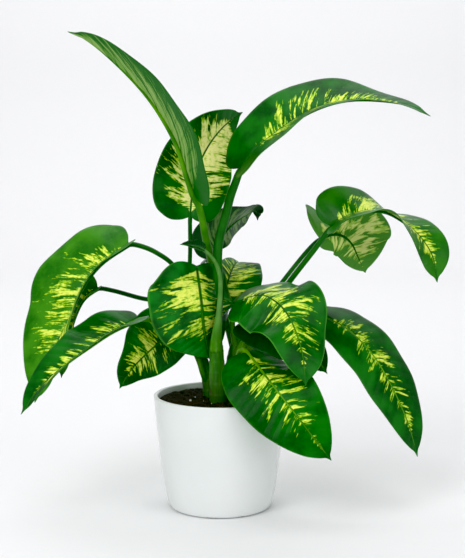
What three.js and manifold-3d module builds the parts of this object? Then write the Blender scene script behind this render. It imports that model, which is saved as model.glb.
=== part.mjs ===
// A young dieffenbachia with splashed leaves, in a plain white pot.
// Millimetres, +Z up. The origin is the middle of the pot's flat underside, and -Y is the front.
import * as THREE from "three";
import { mergeVertices } from "three/addons/utils/BufferGeometryUtils.js";
import Module from "manifold-3d";

const wasm = await Module();
wasm.setup();

// ---- driving dimensions -------------------------------------------------------------------------

const GAP = 0.35; // what neighbouring pieces keep between them

const POT = {
  rimRadius: 75,
  footRadius: 56,
  height: 128.5,
  wall: 4.4,
  floor: 5,
  bulge: 0.58, // exponent of the side's curve: under 1 it swells outwards
  rounding: 3.5, // of the bottom edge
  lip: 1.5, // the height of the rounded rim
  sides: 48,
};
const NOTCH = { width: 2.4, depth: 1.4, apart: 6, angles: [-100, -62, 30, 82, 150, 210] };

const SOIL = { level: 123.5, relief: 1.6, rings: 7 };

const CANE_FOOT = 62; // how deep the canes reach down into the soil
const CANES = {
  cane_front: {
    radii: [10.5, 10.5, 10, 9.3, 7.8],
    path: [[0, -16, CANE_FOOT], [-2, -16, 118], [-2, -15, 141], [-3.5, -13, 167], [-4, -13, 186]],
  },
  cane_left: {
    radii: [7, 7.5, 7.5, 6.5, 6],
    path: [[-11, 9, CANE_FOOT], [-12, 9, 118], [-13.5, 10, 138], [-18, 11, 160], [-26, 13, 180]],
  },
  cane_right: {
    radii: [8, 9, 9, 8.2, 6.5],
    path: [[12, 10, CANE_FOOT], [13, 10, 118], [14, 10, 146], [15.5, 10, 170], [20, 11, 190]],
  },
};

const BLADE = { thickness: 0.8, along: 12, across: 3, sweep: 1.15 };
const STALK = { sides: 6, rings: 8, ribRings: 3, ribEnd: 0.6, ribTip: 0.6 };

// Half of a blade's outline from base to tip: the place along the blade and the distance from the midrib,
// as parts of its length and half width, and the place on the midrib where the vein that ends there starts.
const OUTLINE = [
  [0, 0, 0],
  [-0.03, 0.22, 0.01],
  [-0.03, 0.5, 0.03],
  [0.045, 0.8, 0.07],
  [0.19, 0.97, 0.14],
  [0.36, 1, 0.27],
  [0.54, 0.92, 0.43],
  [0.72, 0.71, 0.61],
  [0.86, 0.43, 0.78],
  [0.935, 0.19, 0.89],
  [0.965, 0.06, 0.95],
  [1, 0, 1],
];
const OUTLINE_STRETCH = 2.2; // a blade is about this many times as long as half of it is wide

// The leaves. A stalk runs from its cane to the blade's base, and its radii are spread evenly along it.
// A midrib point is x, y, z, the blade's roll about the midrib (0 faces the front, 180 the back) and the
// rise of its two halves, both in degrees. wave is the height of the margin's waves.
const TILTED = [0, 0.5, -0.85]; // roll is measured from this way on a blade that points away from the front
const LEAVES = {
  leaf_top_left: {
    halfWidth: 42, radii: [4, 4.4, 4.8, 4.2, 4], wave: 0.8,
    stalk: [[15, 12, 178], [10, 20, 198], [3, 24, 222], [-5, 27, 248], [-8, 27, 267], [-12.5, 11, 290],
      [-16.5, -5, 309], [-20, -12, 331]],
    midrib: [[-26, -15, 351, 262, 22], [-34, -20, 376, 262, 24], [-46, -26, 412, 262, 24],
      [-75, -34, 459, 262, 24], [-115, -40, 500, 258, 24], [-144, -42, 522, 250, 22],
      [-162, -42, 530, 235, 15]],
  },
  leaf_top_back: {
    halfWidth: 49, rightWidth: 0.82, droop: 0.05, radii: [4.6, 2.8, 2.6], wave: 1.2,
    stalk: [[-24, 13, 173], [-30, 21, 192], [-33, 28, 212], [-35, 31, 250], [-34, 30, 290]],
    midrib: [[-34, 28, 327, -4, 8], [-31, 32, 357, -8, 12], [-22, 40, 390, -18, 12],
      [-7, 50, 416, -30, 12], [11, 60, 435, -40, 10], [26, 66, 445, -30, 5]],
  },
  leaf_top_right: {
    halfWidth: 50, radii: [3.6, 3.4, 5, 5.6, 5.4, 4.6], wave: 0.8,
    stalk: [[-3.5, -10, 172], [-2, -4, 192], [-2, -5, 212], [0, -6, 242], [-3, 0, 283], [-1, 4, 305],
      [5, 4, 327], [11, 3, 351], [18, 1, 370]],
    midrib: [[22, 0, 383, 66, 14], [39, -2, 404, 64, 17], [63, -4, 424, 64, 19], [97, -4, 446, 68, 19],
      [138, -2, 458, 72, 16], [187, 0, 456, 80, 8], [213, 0, 450, 75, 6], [233, 0, 440, 60, 5]],
  },
  leaf_shaded_back: {
    halfWidth: 30, rightWidth: 1.2, radii: [4, 2.8, 2.6], wave: 0.8,
    stalk: [[-21, 13, 166], [-21, 22, 190], [-20, 28, 215], [-17, 33, 250]],
    midrib: [[-14, 30, 278, 118, 40], [-2, 46, 299, 122, 20], [13, 66, 315, 118, -8],
      [30, 86, 325, 116, -10], [42, 98, 329, 116, -6], [44, 100, 317, 150, 0]],
  },
  leaf_rolled: {
    halfWidth: 9, radii: [8.1, 6, 3.7, 3, 2.6, 2.3, 2], wave: 0.3,
    stalk: [[-4, -13, 180], [-3.5, -14, 196], [-2, -15, 211], [0, -16.5, 234], [1, -17, 256],
      [-1, -18, 271], [-7, -20, 284]],
    midrib: [[-17, -22, 295, -60, 15], [-23, -22, 298, -60, 12], [-32, -20, 299, -65, 20],
      [-44, -18, 300, -75, 25]],
  },
  leaf_middle_front: {
    halfWidth: 60, droop: 0.12, radii: [4.6, 3, 2.8], wave: 1.4,
    stalk: [[-23, 12, 167], [-26, 8, 188], [-27, 6, 210], [-29, 4, 240], [-29, 0, 264]],
    midrib: [[-26, -5, 275, 50, 2], [-23, -11, 256, 46, -6], [-20, -19, 235, 38, -12],
      [-18, -17, 210, 34, -12], [-15, -6, 188, 34, -8], [-11, -2, 168, 30, 0]],
  },
  leaf_middle_back: {
    halfWidth: 40, leftWidth: 0.45, droop: 0.05, radii: [4.2, 2.6, 2.4], wave: 1.2, facing: TILTED,
    stalk: [[20, 16, 178], [9, 26, 196], [3, 32, 211]],
    midrib: [[2, 38, 227, -30, 20], [8, 58, 247, -20, 22], [14, 82, 262, -10, 20], [20, 104, 267, -6, 16],
      [26, 124, 262, -6, 8]],
  },
  leaf_front_right: {
    halfWidth: 50, rightWidth: 0.92, droop: 0.06, radii: [4.8, 3, 2.8], wave: 1,
    stalk: [[20, 11, 176], [15, 4, 196], [14, -1, 215]],
    midrib: [[16, -4, 232, 76, -8], [32, -12, 241, 78, -9], [48, -26, 245, 66, -11],
      [59, -38, 241, 36, -8], [71, -50, 231, 18, -4], [82, -66, 211, 38, -3], [89, -80, 186, 30, -2],
      [92, -88, 155, 10, 0]],
  },
  leaf_below_right: {
    halfWidth: 36, leftWidth: 0.74, rightWidth: 0.88, radii: [4.2, 2.6, 2.4], wave: 1.2,
    stalk: [[18, 9, 158], [25, -1, 176], [27, -4, 190], [25, -3, 202]],
    midrib: [[24, -3, 211, 60, -2], [47, -15, 210, 40, -2], [77, -30, 200, 30, -4],
      [102, -42, 183, 20, -4], [118, -46, 160, 10, 0]],
  },
  leaf_over_pot: {
    halfWidth: 44, leftWidth: 0.93, rightWidth: 1.06, droop: 0.06, radii: [4.4, 3, 2.8], wave: 1.4,
    stalk: [[16, 9, 142], [19, -4, 166], [23, -22, 183]],
    midrib: [[31, -38, 183, 38, -18], [46, -64, 167, 32, -14], [66, -84, 144, 14, 0], [86, -96, 120, 8, 2],
      [104, -102, 97, 6, 2], [119, -103, 78, 0, 0]],
  },
  leaf_right: {
    halfWidth: 42, leftWidth: 1.14, rightWidth: 0.9, droop: 0.05, radii: [9, 10, 6, 2.8, 2.6], wave: 0.8,
    stalk: [[18, 8, 160], [27, 7, 180], [46, 6, 201], [84, 14, 224]],
    midrib: [[115, 14, 217, 64, -6], [144, 4, 202, 57, -5], [172, -6, 174, 50, -4],
      [194, -14, 137, 45, -4], [211, -18, 98, 42, -2], [222, -18, 60, 36, 0]],
  },
  leaf_far_right_upper: {
    halfWidth: 46, radii: [4.6, 3.6, 3.4], wave: 0.8,
    stalk: [[20, 12, 176], [32, 19, 195], [55, 25, 222], [84, 24, 261], [107, 12, 293]],
    midrib: [[124, 4, 318, 50, 34], [138, 2, 328, 60, 30], [159, 0, 336, 76, 14], [183, -2, 336, 92, 2],
      [202, -5, 326, 84, 6], [220, -10, 310, 64, 10], [235, -14, 287, 40, 12], [241, -15, 257, 20, 2]],
  },
  leaf_far_right_lower: {
    halfWidth: 50, leftWidth: 0.52, rightWidth: 1.2, radii: [4, 3, 2.8], wave: 0.3,
    stalk: [[19, 12, 170], [28, 23, 190], [50, 40, 222], [80, 57, 260], [103, 65, 287]],
    midrib: [[115, 65, 299, 160, 10], [129, 65, 305, 140, -34], [142, 63, 303, 152, -14],
      [153, 59, 293, 158, -10], [159, 53, 279, 162, -4], [167, 44, 261, 165, 0]],
  },
  leaf_far_left: {
    halfWidth: 60, leftWidth: 0.7, rightWidth: 1.1, droop: 0.04, radii: [4, 3, 3], wave: 1.2,
    stalk: [[-22, 12, 162], [-30, 15, 190], [-37, 20, 227], [-51, 17, 271], [-71, 10, 288], [-86, 4, 295.5]],
    midrib: [[-102, -2, 300, -70, 18], [-133, -9, 278, -68, 24], [-154, -16, 250, -60, 28],
      [-168, -22, 216, -58, 26], [-187, -28, 177, -50, 15], [-205, -33, 125, -36, 4]],
  },
  leaf_lower_left: {
    halfWidth: 39, leftWidth: 0.6, radii: [4.2, 3, 2.8], wave: 0.8,
    stalk: [[-17, 10, 148], [-25, 0, 171], [-38, -13, 197], [-64, -25, 214]],
    midrib: [[-89, -40, 221, -72, 12], [-115, -72, 212, -74, 18], [-137, -96, 199, -74, 23],
      [-164, -110, 180, -70, 20], [-190, -116, 156, -60, 12], [-207, -118, 131, -40, 3]],
  },
  leaf_left_small: {
    halfWidth: 30, leftWidth: 0.6, rightWidth: 1.2, radii: [4, 3, 2.8], wave: 1,
    stalk: [[-18, 12, 150], [-30, 25, 178], [-43, 38, 206], [-69, 44, 227], [-92, 44, 232], [-120, 43, 240]],
    midrib: [[-141, 40, 245, -52, 28], [-156, 36, 234, -58, 28], [-167, 34, 212, -58, 26],
      [-175, 32, 179, -50, 14], [-183, 28, 141, -30, 2]],
  },
  leaf_front_left: {
    halfWidth: 38, leftWidth: 0.8, rightWidth: 1.08, droop: 0.04, radii: [4.2, 2.6, 2.4], wave: 1,
    stalk: [[-15, 9, 140], [-21, 2, 157], [-26, 0, 174], [-33, 2, 191]],
    midrib: [[-44, 5, 202, 0, 2], [-65, -4, 190, 6, 4], [-83, -14, 176, 18, 8], [-99, -24, 160, 40, 6],
      [-111, -32, 141, 40, 0]],
  },
};

// ---- finishes -----------------------------------------------------------------------------------

const FINISH = {
  pot: new THREE.MeshStandardMaterial({ color: 0xe9efee, roughness: 0.35, metalness: 0 }),
  soil: new THREE.MeshStandardMaterial({ color: 0x1f170d, roughness: 0.95, metalness: 0 }),
  cane: new THREE.MeshStandardMaterial({ color: 0x3d6b10, roughness: 0.5, metalness: 0 }),
  leaf: new THREE.MeshStandardMaterial({ color: 0x2c8a18, roughness: 0.4, metalness: 0 }),
};

// ---- meshes and solids --------------------------------------------------------------------------

const vector = (p) => new THREE.Vector3(p[0], p[1], p[2]);

// Makes a closed geometry a solid, with its shared vertices merged and the faces that collapse dropped.
function solidFrom(geometry) {
  const bare = new THREE.BufferGeometry().setAttribute("position", geometry.getAttribute("position"));
  bare.setIndex(geometry.index);
  const merged = mergeVertices(bare, 1e-4);
  const corners = merged.index.array;
  const kept = [];
  for (let i = 0; i < corners.length; i += 3) {
    const [a, b, c] = [corners[i], corners[i + 1], corners[i + 2]];
    if (a !== b && b !== c && a !== c) kept.push(a, b, c);
  }
  return new wasm.Manifold(
    new wasm.Mesh({
      numProp: 3,
      vertProperties: new Float32Array(merged.attributes.position.array),
      triVerts: new Uint32Array(kept),
    }),
  );
}

function geometryFrom(solid) {
  const mesh = solid.getMesh();
  return new THREE.BufferGeometry()
    .setAttribute("position", new THREE.BufferAttribute(new Float32Array(mesh.vertProperties), 3))
    .setIndex(new THREE.BufferAttribute(new Uint32Array(mesh.triVerts), 1));
}

function geometryOf(positions, faces) {
  return new THREE.BufferGeometry()
    .setAttribute("position", new THREE.BufferAttribute(new Float32Array(positions.flat()), 3))
    .setIndex(faces.flat());
}

// The largest body of a solid: what a cut leaves loose beside it is dropped.
function mainBody(solid) {
  return solid.decompose().reduce((best, body) => (body.volume() > best.volume() ? body : best));
}

// A smooth value between numbers that stand at 0, 1, 2 ...
function between(values, place) {
  const last = values.length - 1;
  const i = Math.min(Math.max(Math.floor(place), 0), last - 1);
  const f = Math.min(Math.max(place - i, 0), 1);
  const [a, b, c, d] = [Math.max(i - 1, 0), i, i + 1, Math.min(i + 2, last)].map((k) => values[k]);
  const [rise, fall] = [(c - a) / 2, (d - b) / 2];
  return b + rise * f + (3 * (c - b) - 2 * rise - fall) * f * f + (2 * (b - c) + rise + fall) * f ** 3;
}

// A round tapered stem through centres, with a radius for each, closed at both ends.
function stemSolid(centres, radii, sides, grow = 0) {
  const positions = [];
  const faces = [];
  const last = centres.length - 1;
  const way = (i) =>
    centres[Math.min(i + 1, last)].clone().sub(centres[Math.max(i - 1, 0)]).normalize();
  let across = new THREE.Vector3(1, 0, 0);
  centres.forEach((centre, i) => {
    const along = way(i);
    across = across.clone().addScaledVector(along, -across.dot(along)).normalize();
    const third = new THREE.Vector3().crossVectors(along, across);
    for (let k = 0; k < sides; k += 1) {
      const turn = (2 * Math.PI * k) / sides;
      const reach = radii[i] + grow;
      const p = centre.clone().addScaledVector(across, reach * Math.cos(turn));
      positions.push(p.addScaledVector(third, reach * Math.sin(turn)).toArray());
      if (i === 0) continue;
      const [a, b] = [(i - 1) * sides + k, (i - 1) * sides + ((k + 1) % sides)];
      faces.push([a, b, b + sides], [a, b + sides, a + sides]);
    }
  });
  const foot = positions.push(centres[0].clone().addScaledVector(way(0), -grow).toArray()) - 1;
  const tip = positions.push(centres[last].clone().addScaledVector(way(last), grow).toArray()) - 1;
  for (let k = 0; k < sides; k += 1) {
    const next = (k + 1) % sides;
    faces.push([foot, next, k], [tip, last * sides + k, last * sides + next]);
  }
  return solidFrom(geometryOf(positions, faces));
}

// ---- leaves -------------------------------------------------------------------------------------

// The place, sideways way, upper way and rise of the halves at a part of the blade's length.
function bladeFrame(leaf) {
  const curve = new THREE.CatmullRomCurve3(leaf.midrib.map(vector));
  const length = curve.getLength();
  const rolls = leaf.midrib.map((p) => p[3]);
  const rises = leaf.midrib.map((p) => p[4]);
  const facing = vector(leaf.facing ?? [0, 1, 0]);
  return (part) => {
    const inside = Math.min(Math.max(part, 0), 1);
    const knot = curve.getUtoTmapping(inside) * (leaf.midrib.length - 1);
    const along = curve.getTangentAt(inside);
    const place = curve.getPointAt(inside).addScaledVector(along, (part - inside) * length);
    const left = new THREE.Vector3().crossVectors(along, facing).normalize();
    const back = new THREE.Vector3().crossVectors(left, along);
    const roll = THREE.MathUtils.degToRad(between(rolls, knot));
    return {
      place,
      side: left.clone().multiplyScalar(Math.cos(roll)).addScaledVector(back, Math.sin(roll)),
      up: left.clone().multiplyScalar(Math.sin(roll)).addScaledVector(back, -Math.cos(roll)),
      rise: THREE.MathUtils.degToRad(between(rises, knot)),
    };
  };
}

// A point of the blade's middle surface: hand is 1 on its left half and -1 on its right, and reach runs
// along a vein from the midrib (0) to the margin (1).
function bladePoint(leaf, frameAt, edge, hand, reach) {
  const [along, out, start] = edge;
  const part = start + (along - start) * reach ** BLADE.sweep;
  const share = (hand > 0 ? leaf.leftWidth : leaf.rightWidth) ?? 1;
  const ratio = out * share * reach;
  const distance = ratio * leaf.halfWidth;
  const { place, side, up, rise } = frameAt(part);
  const wave = leaf.wave * Math.sin(3.5 * 2 * Math.PI * part + 1.1 * hand) * ratio ** 2;
  const droop = (leaf.droop ?? 0) * leaf.halfWidth * ratio ** 2;
  return place
    .addScaledVector(side, hand * Math.cos(rise) * distance)
    .addScaledVector(up, Math.sin(rise) * distance - droop + wave);
}

// The blade: its middle surface, thickened both ways along its own normals, with the same triangles on
// both faces and a narrow strip round the margin.
function bladeSolid(leaf, frameAt, grow) {
  const stretched = OUTLINE.map(([a, o, s]) => new THREE.Vector3(a * OUTLINE_STRETCH, o, s));
  const edges = new THREE.CatmullRomCurve3(stretched)
    .getSpacedPoints(BLADE.along)
    .map((p) => [p.x / OUTLINE_STRETCH, p.y, p.z]);
  const points = [];
  const add = (p) => points.push(p) - 1;
  const base = add(bladePoint(leaf, frameAt, edges[0], 1, 0));
  const tip = add(bladePoint(leaf, frameAt, edges[BLADE.along], 1, 0));
  const midrib = edges.map((edge, i) =>
    i === 0 ? base : i === BLADE.along ? tip : add(bladePoint(leaf, frameAt, edge, 1, 0)),
  );
  const faces = [];
  const rims = [];
  for (const hand of [1, -1]) {
    let inner = midrib;
    for (let j = 1; j <= BLADE.across; j += 1) {
      const outer = edges.map((edge, i) =>
        i === 0 || i === BLADE.along ? midrib[i] : add(bladePoint(leaf, frameAt, edge, hand, j / BLADE.across)),
      );
      for (let i = 0; i < BLADE.along; i += 1) {
        const quad = [inner[i], inner[i + 1], outer[i + 1], outer[i]];
        if (hand < 0) quad.reverse();
        for (const face of [[quad[0], quad[1], quad[2]], [quad[0], quad[2], quad[3]]])
          if (new Set(face).size === 3) faces.push(face);
      }
      inner = outer;
    }
    const rim = inner.slice(0, -1).map((p, i) => [p, inner[i + 1]]);
    rims.push(...(hand > 0 ? rim : rim.map(([a, b]) => [b, a])));
  }
  const normals = points.map(() => new THREE.Vector3());
  for (const face of faces) {
    const [a, b, c] = face.map((k) => points[k]);
    const normal = b.clone().sub(a).cross(c.clone().sub(a));
    face.forEach((k) => normals[k].add(normal));
  }
  const half = BLADE.thickness / 2 + grow;
  const shifted = (way) =>
    points.map((p, k) => p.clone().addScaledVector(normals[k].clone().normalize(), way * half).toArray());
  const n = points.length;
  const shell = faces.flatMap(([a, b, c]) => [[a, b, c], [c + n, b + n, a + n]]);
  const strip = rims.flatMap(([a, b]) => [[a, b, b + n], [a, b + n, a + n]]);
  const made = solidFrom(geometryOf([...shifted(1), ...shifted(-1)], [...shell, ...strip]));
  return made.volume() > 0 ? made : solidFrom(geometryOf([...shifted(-1), ...shifted(1)], [...shell, ...strip]));
}

// The stalk and, under the blade, the midrib that it runs on into.
function stalkSolid(leaf, frameAt, grow) {
  const narrow = leaf.radii.at(-1);
  const route = new THREE.CatmullRomCurve3([...leaf.stalk, leaf.midrib[0]].map(vector));
  const centres = route.getSpacedPoints(STALK.rings);
  const radii = centres.map((_, i) => between(leaf.radii, (i / STALK.rings) * (leaf.radii.length - 1)));
  const sunk = (part, radius) => {
    const { place, up } = frameAt(part);
    return place.addScaledVector(up, -0.7 * radius);
  };
  centres[STALK.rings] = sunk(0, narrow);
  for (let i = 1; i <= STALK.ribRings; i += 1) {
    const part = i / STALK.ribRings;
    const radius = narrow * 0.8 + (STALK.ribTip - narrow * 0.8) * part;
    centres.push(sunk(part * STALK.ribEnd, radius));
    radii.push(radius);
  }
  return stemSolid(centres, radii, STALK.sides, grow);
}

function leafSolid(leaf, grow = 0) {
  const frameAt = bladeFrame(leaf);
  return bladeSolid(leaf, frameAt, grow).add(stalkSolid(leaf, frameAt, grow));
}

// ---- canes --------------------------------------------------------------------------------------

function caneSolid({ path, radii }, grow = 0) {
  const rings = 9;
  const centres = new THREE.CatmullRomCurve3(path.map(vector)).getPoints(rings);
  const widths = centres.map((_, i) => between(radii, (i / rings) * (radii.length - 1)));
  return stemSolid(centres, widths, 10, grow);
}

// ---- pot and soil -------------------------------------------------------------------------------

const sideRadius = (z) =>
  POT.footRadius + (POT.rimRadius - POT.footRadius) * (Math.max(z, 0) / POT.height) ** POT.bulge;
const sideHeights = [0.05, 0.13, 0.26, 0.46, 0.72, 1].map((part) => part * (POT.height - POT.lip));

function potSolid() {
  const { height, wall, floor, rounding } = POT;
  const outline = [[0, 0], [sideRadius(0) - rounding, 0], [sideRadius(0) - rounding * 0.35, rounding * 0.3]];
  sideHeights.forEach((z) => outline.push([sideRadius(z), z]));
  outline.push([POT.rimRadius - 0.9, height - 0.3], [POT.rimRadius - wall / 2, height]);
  outline.push([POT.rimRadius - wall + 0.9, height - 0.3]);
  sideHeights.slice(1).reverse().forEach((z) => outline.push([sideRadius(z) - wall, z]));
  outline.push([sideRadius(floor) - wall - 4, floor], [0, floor]);
  const wallShape = new THREE.LatheGeometry(outline.map(([r, z]) => new THREE.Vector2(r, z)), POT.sides);
  wallShape.rotateX(Math.PI / 2);
  let pot = solidFrom(wallShape);
  for (const middle of NOTCH.angles)
    for (const hand of [-1, 1]) {
      const turn = THREE.MathUtils.degToRad(middle + (hand * NOTCH.apart) / 2);
      const cutter = new THREE.BoxGeometry(8, NOTCH.width, 2 * NOTCH.depth);
      cutter.translate(POT.footRadius - 1, 0, 0);
      cutter.rotateZ(turn);
      pot = pot.subtract(solidFrom(cutter));
    }
  return pot;
}

// The crumbly top of the soil.
const crumbs = (x, y) =>
  SOIL.relief *
  (0.5 * Math.sin(0.31 * x + 1.2 * Math.sin(0.17 * y)) +
    0.35 * Math.cos(0.37 * y - 0.9 * Math.sin(0.23 * x)) +
    0.3 * Math.sin(0.71 * x + 0.63 * y));

function soilSolid(canes) {
  const rim = sideRadius(SOIL.level) - POT.wall - GAP - 0.4;
  const bottom = POT.floor + GAP;
  const outline = [[0, bottom], [sideRadius(POT.floor) - POT.wall - 5, bottom]];
  for (const z of sideHeights.slice(1))
    if (z < SOIL.level) outline.push([sideRadius(z) - POT.wall - GAP, z]);
  for (let i = 0; i < SOIL.rings; i += 1) outline.push([rim * (1 - i / SOIL.rings), SOIL.level]);
  outline.push([0, SOIL.level]);
  const shape = new THREE.LatheGeometry(outline.map(([r, z]) => new THREE.Vector2(r, z)), POT.sides / 2);
  shape.rotateX(Math.PI / 2);
  const at = shape.getAttribute("position");
  for (let i = 0; i < at.count; i += 1)
    if (at.getZ(i) > SOIL.level - 0.01) {
      const edge = Math.min(1, (rim - Math.hypot(at.getX(i), at.getY(i))) / 10);
      at.setZ(i, SOIL.level + edge * crumbs(at.getX(i), at.getY(i)) - 1.5 * (1 - edge));
    }
  return canes.reduce((soil, cane) => soil.subtract(cane), solidFrom(shape));
}

// ---- the plant ----------------------------------------------------------------------------------

const plant = new THREE.Group();

function place(name, solid, material) {
  const mesh = new THREE.Mesh(geometryFrom(solid), material);
  mesh.name = name;
  plant.add(mesh);
}

place("pot", potSolid(), FINISH.pot);
const canesWithRoom = Object.values(CANES).map((cane) => caneSolid(cane, GAP));
place("soil", mainBody(soilSolid(canesWithRoom)), FINISH.soil);

// Each piece makes room for those before it, as sheathing stalks that press on each other do.
const taken = [];
function settle(name, solid, room, material) {
  const free = taken.reduce((left, other) => left.subtract(other), solid);
  place(name, mainBody(free), material);
  taken.push(room);
}
for (const [name, cane] of Object.entries(CANES))
  settle(name, caneSolid(cane), caneSolid(cane, GAP), FINISH.cane);
for (const [name, leaf] of Object.entries(LEAVES))
  settle(name, leafSolid(leaf), leafSolid(leaf, GAP), FINISH.leaf);

export default plant;
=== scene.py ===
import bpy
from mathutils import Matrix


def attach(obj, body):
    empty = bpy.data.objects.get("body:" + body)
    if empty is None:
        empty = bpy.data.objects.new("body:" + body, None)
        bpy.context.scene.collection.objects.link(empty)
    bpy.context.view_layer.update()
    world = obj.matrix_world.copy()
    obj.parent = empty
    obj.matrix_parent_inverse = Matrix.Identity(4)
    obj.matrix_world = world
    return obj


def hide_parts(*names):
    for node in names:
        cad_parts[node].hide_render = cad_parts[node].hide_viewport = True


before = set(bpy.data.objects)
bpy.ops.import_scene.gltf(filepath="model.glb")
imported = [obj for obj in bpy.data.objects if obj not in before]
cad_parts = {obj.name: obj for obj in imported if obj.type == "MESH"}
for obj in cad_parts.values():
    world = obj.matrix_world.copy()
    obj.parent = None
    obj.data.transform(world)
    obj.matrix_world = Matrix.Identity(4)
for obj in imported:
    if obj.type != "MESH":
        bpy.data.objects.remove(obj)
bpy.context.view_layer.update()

import math

import bmesh
import bpy
import numpy as np
from mathutils import Vector, noise

# A young dieffenbachia with splashed leaves, in a plain white pot. The tables are in millimetres; the
# origin is the middle of the pot's flat underside, +Z is up and -Y is the front.

MM = 0.001

# ---- the pot, the soil and the canes ---------------------------------------------------------------

POT = {
    "rim_radius": 75, "foot_radius": 56, "height": 128.5, "wall": 4.4, "floor": 5,
    "bulge": 0.58,  # exponent of the side's curve: under 1 it swells outwards
    "rounding": 3.5, "rounding_height": 1.4,  # of the bottom edge
    "lip": 1.5,  # the height of the rounded rim
    "rows": 30, "sides": 360,
}
NOTCH = {"width": 2.4, "depth": 1.4, "apart": 6, "angles": [-100, -62, 30, 82, 150, 210]}
SOIL = {"level": 123.5, "relief": 1.6, "clearance": 0.8, "rings": 62, "sides": 200}
GRAINS = {"count": 13, "spread": 60, "seed": 7}
CANE_FOOT = 62  # how deep the canes reach down into the soil
SCARS = {"apart": 12.5, "first": 6.2, "half_width": 0.9, "height": 0.35, "swell": 0.012}

CANES = {
    "cane_front": {
        "radii": [10.5, 10.5, 10, 9.3, 7.8],
        "path": [[0, -16, CANE_FOOT], [-2, -16, 118], [-2, -15, 141], [-3.5, -13, 167], [-4, -13, 186]],
    },
    "cane_left": {
        "radii": [7, 7.5, 7.5, 6.5, 6],
        "path": [[-11, 9, CANE_FOOT], [-12, 9, 118], [-13.5, 10, 138], [-18, 11, 160], [-26, 13, 180]],
    },
    "cane_right": {
        "radii": [8, 9, 9, 8.2, 6.5],
        "path": [[12, 10, CANE_FOOT], [13, 10, 118], [14, 10, 146], [15.5, 10, 170], [20, 11, 190]],
    },
}

TILTED = [0, 0.5, -0.85]

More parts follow.
